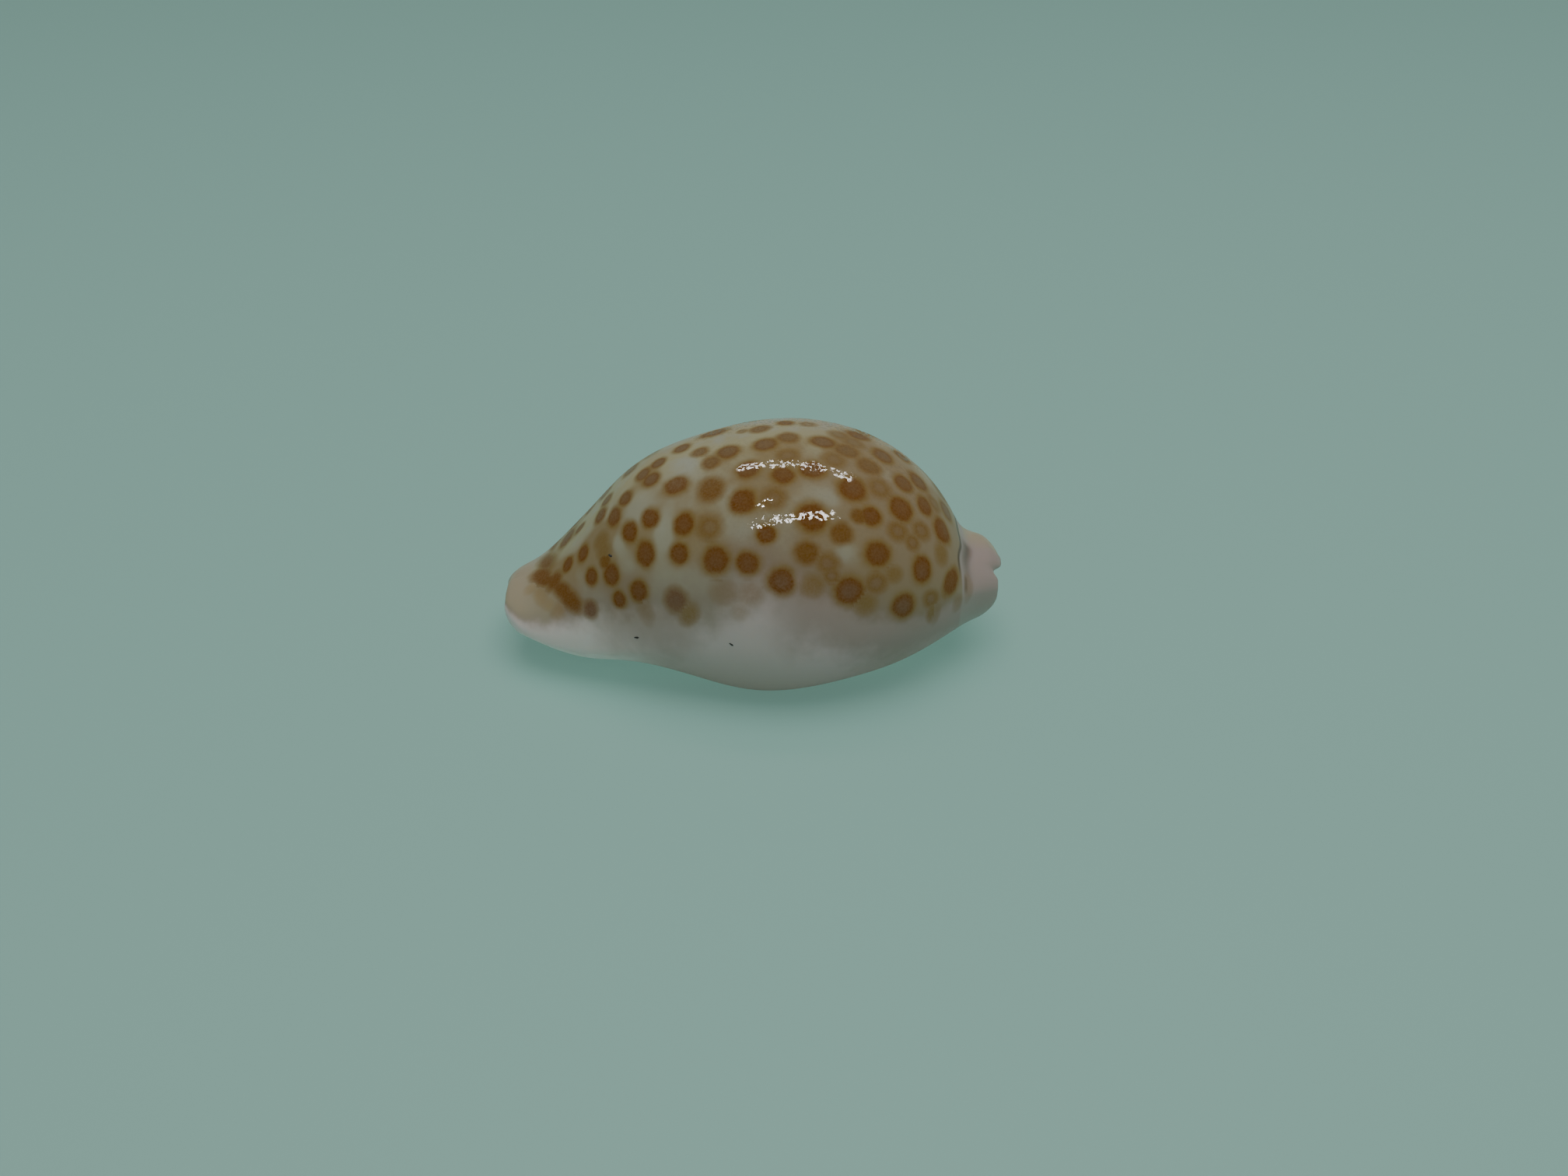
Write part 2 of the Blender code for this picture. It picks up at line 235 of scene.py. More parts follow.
# The flakes of dust: row, place, size and turn in degrees. A flake of size 1 has this radius, in metres,
# before it is stretched to its shape. The noise that rumples it has this many cycles in a metre, and the
# colours are those of its darkest and its palest patches.
DUST = [(0.24, 0.293, 1.2, -45.0), (0.29, 0.565, 1.1, -10.0), (0.47, 0.585, 1.0, -45.0)]
FLAKE_RADIUS = 0.00003
FLAKE_SHAPE = (2.0, 0.75, 0.45)
FLAKE_RUMPLE = 30000.0
DUST_COLOURS = (0.006, 0.005, 0.004, 1), (0.03, 0.026, 0.02, 1)

# The height of the enamel's bumps and the depth that light reaches in it, in metres, and millimetres in one.
BUMP_HEIGHT = 0.000004
LIGHT_DEPTH = 0.0001
MILLIMETRES = 1000.0

# The stage, in metres. The narrow lamps only draw glints: name, left end, right end, width and power.
FLOOR_RADIUS, FLOOR_SIDES = 1.5, 96
SKY_COLOUR = (0.95, 1.0, 0.98, 1)
SOFTBOX_PLACE, SOFTBOX_AIM, SOFTBOX_SIZE = (0.02, -0.03, 0.17), (0, 0, 0), (0.14, 0.14)
STRIP_AIM = (0.001, 0, 0.005)
STRIPS = (
    ("rear strip", (-0.047, 0.053, 0.12), (0.063, 0.044, 0.12), 0.015, 0.13),
    ("front strip", (-0.052, -0.063, 0.12), (0.055, -0.034, 0.12), 0.014, 0.19),
    ("small strip", (-0.038, -0.027, 0.12), (-0.02, -0.019, 0.12), 0.005, 0.04),
)
CAMERA_PLACE, CAMERA_TARGET = (0.00087, -0.03372, 0.0217), (0.00087, -0.0003, 0.0017)
CAMERA_LENS, CAMERA_SENSOR, CAMERA_NEAREST = 34.34, 36, 0.001


def smooth_curve(knots):
    """A natural cubic curve through the knots, as a function of the row."""
    x, y = np.array(knots, float).T
    step = np.diff(x)
    slopes = np.diff(y) / step
    rows = np.eye(len(x))
    ends = np.zeros(len(x))
    for i in range(1, len(x) - 1):
        rows[i, i - 1 : i + 2] = step[i - 1], 2 * (step[i - 1] + step[i]), step[i]
        ends[i] = 6 * (slopes[i] - slopes[i - 1])
    bend = np.linalg.solve(rows, ends)

    def at(row):
        t = np.clip(row, x[0], x[-1])
        i = np.clip(np.searchsorted(x, t) - 1, 0, len(x) - 2)
        h, past, left = step[i], t - x[i], x[i + 1] - t
        cubic = (bend[i] * left**3 + bend[i + 1] * past**3) / (6 * h)
        return cubic + (y[i] / h - bend[i] * h / 6) * left + (y[i + 1] / h - bend[i + 1] * h / 6) * past

    return at


def ease(value):
    """0 below 0, 1 above 1, and smooth in between."""
    v = np.clip(value, 0, 1)
    return v * v * (3 - 2 * v)


def bent_row(row, place, columellar):
    """The row of a point once the roofs, the lips and the columellar lobe stand back at the ends."""
    signed = place if columellar else -place
    side = ease(place / COLUMELLAR_FULL_FROM) * columellar
    back = []
    for i in (0, 1):
        roof = np.exp(-(((signed - ROOF_PLACE[i]) / ROOF_SPREAD[i]) ** 2))
        start = (COLUMELLAR_LIP_FROM if columellar else LABRAL_LIP_FROM)[i]
        lips = ease((place - start) / (1 - start))
        back.append(roof * ROOF_BACK[i] + lips * LIPS_BACK[i] + side * COLUMELLAR_BACK[i])
    near_front = np.clip(1 - row / END_REACH, 0, 1) ** 2
    near_rear = np.clip(1 - (1 - row) / END_REACH, 0, 1) ** 2
    return row + back[0] * near_front - back[1] * near_rear


def skin_points(row, place, columellar):
    """The points of the outer and of the inner skin on one side, in metres."""
    row, place = np.broadcast_arrays(np.asarray(row, float), np.asarray(place, float))
    t = bent_row(row, place, columellar)
    crest = smooth_curve(CREST)(t)
    edge = smooth_curve(COLUMELLAR_EDGE if columellar else LABRAL_EDGE)(t)
    bulge = smooth_curve(COLUMELLAR_BULGE if columellar else LABRAL_BULGE)(t)
    base = smooth_curve(COLUMELLAR_BASE if columellar else LABRAL_BASE)(t)
    radius = smooth_curve(LIP_RADIUS)(t)
    lip = -smooth_curve(COLUMELLAR_LIP)(t) if columellar else smooth_curve(LABRAL_LIP)(t)
    notch = columellar * NOTCH_DEPTH * np.exp(-(((t - NOTCH_ROW) / NOTCH_WIDTH) ** 2))
    face = lip + notch
    keel = lip + KEEL_SHARE * (edge - lip)

    def by_zone(on_dome, on_flank, on_lip):
        return np.where(place <= EDGE_PLACE, on_dome, np.where(place <= KEEL_PLACE, on_flank, on_lip))

    share = by_zone(place / EDGE_PLACE, (place - EDGE_PLACE) / (KEEL_PLACE - EDGE_PLACE),
                    (place - KEEL_PLACE) / (1 - KEEL_PLACE))
    towards, along = np.cos(share * np.pi / 2), np.sin(share * np.pi / 2)
    outer_y = by_zone(edge * along, keel + (edge - keel) * towards, keel - (keel - face) * along)
    outer_z = by_zone(bulge + (crest - bulge) * towards, bulge - (bulge - base) * along,
                      base + radius * (1 - towards))
    outer_z = np.maximum(outer_z, 0)

    floor = base + 2 * radius
    reach = lip + (edge - lip) * smooth_curve(HOLLOW_WIDTH)(t)
    top = floor + (crest - floor) * smooth_curve(HOLLOW_HEIGHT)(t)
    waist = floor + HOLLOW_WAIST * (top - floor)
    corner = (reach - lip) / 2
    inner_y = by_zone(reach * along, reach - corner * (1 - towards),
                      face + (lip + corner - face) * towards**INNER_LIP_POWER)
    inner_z = by_zone(waist + (top - waist) * towards, waist - (waist - floor) * along,
                      floor - radius * along**2)

    front_rim, rear_rim = (bent_row(np.full_like(place, end), place, columellar) for end in (0, 1))
    depth = np.minimum(t - front_rim, rear_rim - t) / RIM_RADIUS
    apart = np.sqrt(1 - (1 - np.clip(depth, 0, 1)) ** 2)
    sign = -1 if columellar else 1
    meet_y = inner_y + RIM_SHARE * (outer_y - inner_y)
    meet_z = inner_z + RIM_SHARE * (outer_z - inner_z)
    skins = []
    for y, z in ((outer_y, outer_z), (inner_y, inner_z)):
        point = [t - 0.5, sign * (meet_y + apart * (y - meet_y)), meet_z + apart * (z - meet_z)]
        skins.append(np.stack(point, axis=-1) * SHELL_LENGTH)
    return skins


def row_steps():
    """Rows from tip to tip, closer together round the two rims."""
    rim = RIM_RADIUS * (1 - np.cos(np.linspace(0, np.pi / 2, RIM_ROWS, endpoint=False)))
    middle = np.linspace(RIM_RADIUS, 1 - RIM_RADIUS, MIDDLE_ROWS)
    return np.concatenate([rim, middle, 1 - rim[::-1]])


def place_steps():
    """Places from the crest to the lip."""
    return np.concatenate([np.linspace(0, EDGE_PLACE, DOME_STEPS, endpoint=False),
                           np.linspace(EDGE_PLACE, KEEL_PLACE, FLANK_STEPS, endpoint=False),
                           np.linspace(KEEL_PLACE, 1, LIP_STEPS + 1)])


def shell_mesh():
    """The smooth-lipped shell: both skins, sewn along the lips and round the two rims.

    Its attributes say where each point lies: row, place, columellar (0 or 1), from_lip (the place's
    distance from the lip, negative outside) and inside (how far into the hollow, 0 to 1)."""
    rows, places = row_steps(), place_steps()
    last_row, last_step = len(rows) - 1, 2 * (len(places) - 1)
    labral, columellar = (skin_points(rows[:, None], places[None, :], side) for side in (0, 1))
    outer, inner = (np.concatenate([a[:, ::-1], b[:, 1:]], axis=1) for a, b in zip(labral, columellar))
    place = np.concatenate([places[::-1], places[1:]])
    side = (np.arange(last_step + 1) > last_step // 2).astype(float)
    grid = np.arange(outer.shape[0] * outer.shape[1]).reshape(outer.shape[:2])
    within = grid[:, ::2].copy()
    free = np.arange((last_row - 1) * (within.shape[1] - 2)).reshape(last_row - 1, -1) + grid.size
    within[1:-1, 1:-1] = free

    points = np.concatenate([outer.reshape(-1, 3), inner[1:-1, 2:-2:2].reshape(-1, 3)])
    faces = []
    for r in range(last_row):
        near, far = grid[r].tolist(), grid[r + 1].tolist()
        faces += [(near[s], near[s + 1], far[s + 1], far[s]) for s in range(last_step)]
        near, far = within[r].tolist(), within[r + 1].tolist()
        for s in range(len(near) - 1):
            face = [near[s + 1], near[s], far[s], far[s + 1]]
            if r == 0:
                face.insert(1, grid[0, 2 * s + 1])
            if r == last_row - 1:
                face.insert(3, grid[last_row, 2 * s + 1])
            faces.append(face)

    def both(on_outer, on_inner):
        return np.concatenate([np.broadcast_to(on_outer, grid.shape).ravel(),
                               np.broadcast_to(on_inner, within.shape)[1:-1, 1:-1].ravel()])

    from_lip, from_tip = 1 - place[::2], np.minimum(rows, 1 - rows)[:, None]
    fields = {
        "row": both(rows[:, None], rows[:, None]),
        "place": both(place, place[::2]),
        "columellar": both(side, side[::2]),
        "from_lip": both(place - 1, from_lip),
        "inside": both(0, np.minimum(ease(from_lip / DARK_FROM_LIP), ease(from_tip / DARK_FROM_TIP))),
    }
    mesh = bpy.data.meshes.new("cowrie_shell")
    mesh.from_pydata(points.tolist(), [], faces)
    for name, values in fields.items():
        mesh.attributes.new(name, "FLOAT", "POINT").data.foreach_set("value", values.astype(np.float32))
    mesh.shade_smooth()
    return mesh


def surface_frame(row, place, lean=0):
    """A point of the outer skin, with the directions along the shell, across it and outwards.

    A place below 0 lies on the labral side. The first two directions are turned by lean degrees."""
    columellar, place, nudge = place >= 0, abs(place), 0.002
    point, ahead, aside = (skin_points(r, p, columellar)[0] for r, p in (
        (row, place), (row + nudge, place), (row, place + nudge)))
    along, across = Vector(ahead - point).normalized(), Vector(aside - point)
    across = (across - across.dot(along) * along).normalized()
    outward = across.cross(along) if columellar else along.cross(across)
    turn = math.radians(lean)
    along, across = (math.cos(turn) * along - math.sin(turn) * across,
                     math.sin(turn) * along + math.cos(turn) * across)
    return Vector(point), along, across, outward


def point_mesh(name, points, fields):
    """A mesh of loose points. Each field is a list with one number or one vector for each point."""
    mesh = bpy.data.meshes.new(name)
    mesh.from_pydata([tuple(p) for p in points], [], [])
    for field, values in fields.items():
        is_vector = hasattr(values[0], "__len__")
        attribute = mesh.attributes.new(field, "FLOAT_VECTOR" if is_vector else "FLOAT", "POINT")
        attribute.data.foreach_set("vector" if is_vector else "value", np.array(values, np.float32).ravel())
    return mesh


class Wiring:
    """Adds nodes to a tree, each linked as it is made. A value is a socket, or a constant for the input."""

    def __init__(self, tree):
        self.tree = tree

    def add(self, kind, values=None, output=0, **settings):
        node = self.tree.nodes.new(kind)
        for name, setting in settings.items():
            setattr(node, name, setting)
        for key, value in (values or {}).items():
            if isinstance(value, bpy.types.NodeSocket):
                self.tree.links.new(value, node.inputs[key])
            else:
                node.inputs[key].default_value = value
        return node.outputs[output]

    def math(self, operation, *values):
        return self.add("ShaderNodeMath", dict(enumerate(values)), operation=operation)

    def chain(self, operation, first, *others):
        """Takes the values in one after another."""
        for other in others:
            first = self.math(operation, first, other)
        return first

    def total(self, *values):
        return self.chain("ADD", *values)

    def product(self, *values):
        return self.chain("MULTIPLY", *values)

    def highest(self, *values):
        return self.chain("MAXIMUM", *values)

    def vector(self, operation, *values):
        inputs = {0: values[0], "Scale": values[1]} if operation == "SCALE" else dict(enumerate(values))
        output = "Value" if operation == "DOT_PRODUCT" else "Vector"
        return self.add("ShaderNodeVectorMath", inputs, output=output, operation=operation)

    def step(self, value, low, high, to_low=0.0, to_high=1.0):
        """A smooth step from to_low at low to to_high at high. Of two numbers, high may be the smaller."""
        numbers = isinstance(low, float) and isinstance(high, float)
        if numbers and low > high:
            low, high, to_low, to_high = high, low, to_high, to_low
        return self.add("ShaderNodeMapRange", {0: value, 1: low, 2: high, 3: to_low, 4: to_high},
                        interpolation_type="SMOOTHSTEP")

    def near(self, value, middle, reach, core=0.0, peak=1.0):
        """The peak while a value is within the core of the middle, and 0 once it is out of reach."""
        away = self.math("ABSOLUTE", self.math("SUBTRACT", value, middle))
        return self.step(away, reach, core, 0.0, peak)

    def blend(self, factor, first, second):
        """Mixes two numbers."""
        return self.add("ShaderNodeMix", {0: factor, 2: first, 3: second}, data_type="FLOAT")

    def tint(self, factor, first, second):
        """Mixes two colours."""
        return self.add("ShaderNodeMix", {0: factor, 6: first, 7: second}, output=2, data_type="RGBA")

    def named(self, name, kind="FLOAT"):
        """An attribute of the geometry, in a geometry tree."""
        return self.add("GeometryNodeInputNamedAttribute", {"Name": name}, data_type=kind)

    def stored(self, geometry, name, value, kind="FLOAT"):
        """The geometry with a value stored on its points."""
        inputs = {"Geometry": geometry, "Name": name, "Value": value}
        return self.add("GeometryNodeStoreNamedAttribute", inputs, data_type=kind, domain="POINT")


def geometry_tree(name, inputs):
    """A geometry tree with named inputs, and its input sockets by name."""
    tree = bpy.data.node_groups.new(name, "GeometryNodeTree")
    tree.is_modifier = True
    tree.interface.new_socket("Geometry", in_out="INPUT", socket_type="NodeSocketGeometry")
    for label, kind in inputs.items():
        tree.interface.new_socket(label, in_out="INPUT", socket_type="NodeSocket" + kind)
    tree.interface.new_socket("Geometry", in_out="OUTPUT", socket_type="NodeSocketGeometry")
    entry = tree.nodes.new("NodeGroupInput")
    return tree, {socket.name: socket for socket in entry.outputs if socket.name}


def close_tree(wiring, geometry, material):
    """Ends a tree in real meshes with their material set."""
    real = wiring.add("GeometryNodeRealizeInstances", {"Geometry": geometry})
    finished = wiring.add("GeometryNodeSetMaterial", {"Geometry": real, "Material": material})
    exit_node = wiring.tree.nodes.new("NodeGroupOutput")
    wiring.tree.links.new(finished, exit_node.inputs[0])


def apply_tree(obj, tree, values):
    """Runs a tree on an object with these inputs, and keeps the result as the object's plain mesh."""
    modifier = obj.modifiers.new(tree.name, "NODES")
    modifier.node_group = tree
    names = {item.name: item.identifier for item in tree.interface.items_tree if item.in_out == "INPUT"}
    for name, value in values.items():
        modifier[names[name]] = value
    bpy.context.view_layer.update()
    evaluated = obj.evaluated_get(bpy.context.evaluated_depsgraph_get())
    result = bpy.data.meshes.new_from_object(evaluated)
    if not result.polygons:
        raise RuntimeError(f"The tree {tree.name} made no faces for {obj.name}")
    obj.modifiers.remove(modifier)
    old, obj.data = obj.data, result
    bpy.data.meshes.remove(old)
    result.name = obj.name


def teeth_tree():
    """Raises a row of rounded teeth on each lip, as ridges that fade out on the base and inside."""
    spans = {f"{lip} {word}": "Float" for lip in LIP_TEETH for word in TOOTH_SPAN}
    tree, given = geometry_tree("lip teeth", {"Pitch": "Float", "Height": "Float", **spans,
                                              "Material": "Material"})
    w = Wiring(tree)
    row, from_lip, columellar = (w.named(name) for name in ("row", "from_lip", "columellar"))
    first, last, reach = (w.blend(columellar, given["Labral " + word], given["Columellar " + word])
                          for word in TOOTH_SPAN)
    number = w.math("DIVIDE", w.math("SUBTRACT", row, first), given["Pitch"])
    wave = w.math("MULTIPLY_ADD", w.math("COSINE", w.product(number, 2 * math.pi)), 0.5, 0.5)
    ridge = w.math("POWER", wave, TOOTH_SHARPNESS)
    opening = w.step(number, -1.0, 0.0)
    ending = w.step(w.math("DIVIDE", w.math("SUBTRACT", last, row), given["Pitch"]), -1.0, 0.0)
    outside = w.step(w.math("DIVIDE", from_lip, reach), *TOOTH_BASE_FADE)
    within = w.step(from_lip, *TOOTH_INNER_FADE)
    height = w.product(ridge, opening, ending, outside, within, given["Height"])
    push = w.vector("SCALE", w.add("GeometryNodeInputNormal"), height)
    moved = w.add("GeometryNodeSetPosition", {"Geometry": given["Geometry"], "Offset": push})
    above_ground = w.vector("MAXIMUM", w.add("GeometryNodeInputPosition"), (-1.0, -1.0, 0.0))
    grounded = w.add("GeometryNodeSetPosition", {"Geometry": moved, "Position": above_ground})
    close_tree(w, grounded, given["Material"])
    return tree


def strew_spots(w, given, placed):
    """Random spots on the far side: the labral back down to the white margin, clear of the placed spots."""
    def chance(low, high, offset):
        seed = w.total(given["Seed"], offset)
        return w.add("FunctionNodeRandomValue", {2: low, 3: high, "Seed": seed}, output=1, data_type="FLOAT")

    gap = w.add("GeometryNodeProximity", {0: placed}, output="Distance", target_element="POINTS")
    limits = (("GREATER_THAN", gap, given["Clearance"]), ("SUBTRACT", 1.0, w.named("columellar")),
              ("LESS_THAN", w.named("inside"), 0.001), ("LESS_THAN", w.named("from_lip"), 0.0),
              ("LESS_THAN", w.named("place"), STREWN_LOWEST_PLACE),
              ("GREATER_THAN", w.named("row"), STREWN_ROWS[0]),
              ("LESS_THAN", w.named("row"), STREWN_ROWS[1]))
    where = w.product(*(w.math(*limit) for limit in limits))
    strewn = w.add("GeometryNodeDistributePointsOnFaces", {
        "Mesh": given["Geometry"], "Distance Min": given["Spacing"], "Density Max": STREWN_DENSITY,
        "Density Factor": where, "Seed": given["Seed"]}, output="Points", distribute_method="POISSON")

    normal = strewn.node.outputs["Normal"]
    across = w.vector("NORMALIZE", w.vector("CROSS_PRODUCT", normal, (1.0, 0.0, 0.0)))
    along = w.vector("CROSS_PRODUCT", across, normal)
    growth = w.product(w.math("SUBTRACT", given["Largest"], given["Smallest"]), chance(0.0, 1.0, 1))
    per_size = w.math("DIVIDE", 1.0, w.total(given["Smallest"], growth))
    axes = (("along", along, chance(0.9, 1.1, 2)), ("across", across, chance(0.8, 1.05, 3)),
            ("outward", normal, OUTWARD_SHARE))
    for name, direction, stretch in axes:
        scaled = w.vector("SCALE", direction, w.product(per_size, stretch))
        strewn = w.stored(strewn, name, scaled, "FLOAT_VECTOR")
    paleness = chance(0.0, 1.0, 4)
    looks = (w.step(paleness, 1.0, 0.55, 0.4, 1.0), chance(0.2, 1.0, 5),
             w.step(paleness, 0.6, 1.0, 0.0, 0.75), 0.0, 0.9)
    for name, value in zip(SPOT_FIELDS, looks):
        strewn = w.stored(strewn, name, value)
    return strewn


def find_nearest_spot(w, shell, spots):
    """Stores the looks of each point's nearest spot on the shell, in a loop with one turn for each spot."""
    for name in ("eye", "tone", "ring", "blur", "cool", "warm"):
        shell = w.stored(shell, name, FAR_AWAY if name == "eye" else 0.0)
    count = w.add("GeometryNodeAttributeDomainSize", {"Geometry": spots}, output="Point Count",
                  component="POINTCLOUD")
    turn = w.tree.nodes.new("GeometryNodeRepeatInput")
    turned = w.tree.nodes.new("GeometryNodeRepeatOutput")
    turn.pair_with_output(turned)
    turned.repeat_items.clear()
    turned.repeat_items.new("GEOMETRY", "Shell")
    w.tree.links.new(count, turn.inputs["Iterations"])
    w.tree.links.new(shell, turn.inputs["Shell"])

    def of_spot(value, kind="FLOAT"):
        return w.add("GeometryNodeSampleIndex", {"Geometry": spots, "Value": value,
                                                 "Index": turn.outputs["Iteration"]}, data_type=kind)

    centre = of_spot(w.add("GeometryNodeInputPosition"), "FLOAT_VECTOR")
    offset = w.vector("SUBTRACT", w.add("GeometryNodeInputPosition"), centre)
    parts = [w.vector("DOT_PRODUCT", offset, of_spot(w.named(name, "FLOAT_VECTOR"), "FLOAT_VECTOR"))
             for name in ("along", "across", "outward")]
    distance = w.math("SQRT", w.total(*(w.product(part, part) for part in parts)))
    tone, warmth = of_spot(w.named("tone")), of_spot(w.named("warmth"))
    rank = w.math("MULTIPLY_ADD", w.math("LESS_THAN", tone, 0.01), FAR_AWAY, distance)
    nearer = w.math("LESS_THAN", rank, w.named("eye"))
    glow = w.product(warmth, w.math("EXPONENT", w.product(distance, distance, -WARMTH_FADE)))
    shell = w.stored(turn.outputs["Shell"], "warm", w.total(w.named("warm"), glow))
    for name in ("tone", "ring", "blur", "cool"):
        shell = w.stored(shell, name, w.blend(nearer, w.named(name), of_spot(w.named(name))))
    shell = w.stored(shell, "eye", w.math("MINIMUM", w.named("eye"), rank))
    w.tree.links.new(shell, turned.inputs["Shell"])
    return turned.outputs["Shell"]


def spots_tree():
    """Strews spots over the far side, and stores for each point of the shell its nearest spot's looks.

    eye is the distance from the spot's middle in spot radii, and tone, ring, blur and cool are what
    SPOT_KINDS lists. warm is high where spots crowd, and low in a cloud. A spot without tone only
    adds to it."""
    tree, given = geometry_tree("eye spots", {
        "Placed Spots": "Object", "Spacing": "Float", "Smallest": "Float", "Largest": "Float",
        "Clearance": "Float", "Seed": "Int", "Material": "Material"})
    w = Wiring(tree)
    placed = w.add("GeometryNodeObjectInfo", {"Object": given["Placed Spots"]}, output="Geometry",
                   transform_space="ORIGINAL")
    placed = w.add("GeometryNodeMeshToPoints", {"Mesh": placed})
    join = tree.nodes.new("GeometryNodeJoinGeometry")
    for spots in (strew_spots(w, given, placed), placed):
        tree.links.new(spots, join.inputs[0])
    close_tree(w, find_nearest_spot(w, given["Geometry"], join.outputs[0]), given["Material"])
    return tree


def dust_tree():
    """Lays one flattened flake of dust on each point, turned by the point's own angle."""
    tree, given = geometry_tree("dust flakes", {"Flake Radius": "Float", "Material": "Material"})
    w = Wiring(tree)
    flake = w.add("GeometryNodeMeshIcoSphere", {"Radius": given["Flake Radius"], "Subdivisions": 2})
    flat = w.add("GeometryNodeTransform", {"Geometry": flake, "Scale": FLAKE_SHAPE})
    rumple = w.add("ShaderNodeTexNoise", {"Scale": FLAKE_RUMPLE, "Detail": 1.0}, output="Color")
    shift = w.vector("SCALE", w.vector("SUBTRACT", rumple, (0.5, 0.5, 0.5)), given["Flake Radius"])
    rough = w.add("GeometryNodeSetPosition", {"Geometry": flat, "Offset": shift})
    outward = w.named("outward", "FLOAT_VECTOR")
    upright = w.add("FunctionNodeAlignRotationToVector", {"Vector": outward}, axis="Z")
    about = w.add("FunctionNodeAxisAngleToRotation", {"Axis": (0.0, 0.0, 1.0), "Angle": w.named("spin")})
    turned = w.add("FunctionNodeRotateRotation", {0: upright, 1: about}, rotation_space="LOCAL")
    points = w.add("GeometryNodeMeshToPoints", {"Mesh": given["Geometry"]})
    flakes = w.add("GeometryNodeInstanceOnPoints", {
        "Points": points, "Instance": rough, "Rotation": turned, "Scale": w.named("size")})
    close_tree(w, flakes, given["Material"])
    return tree


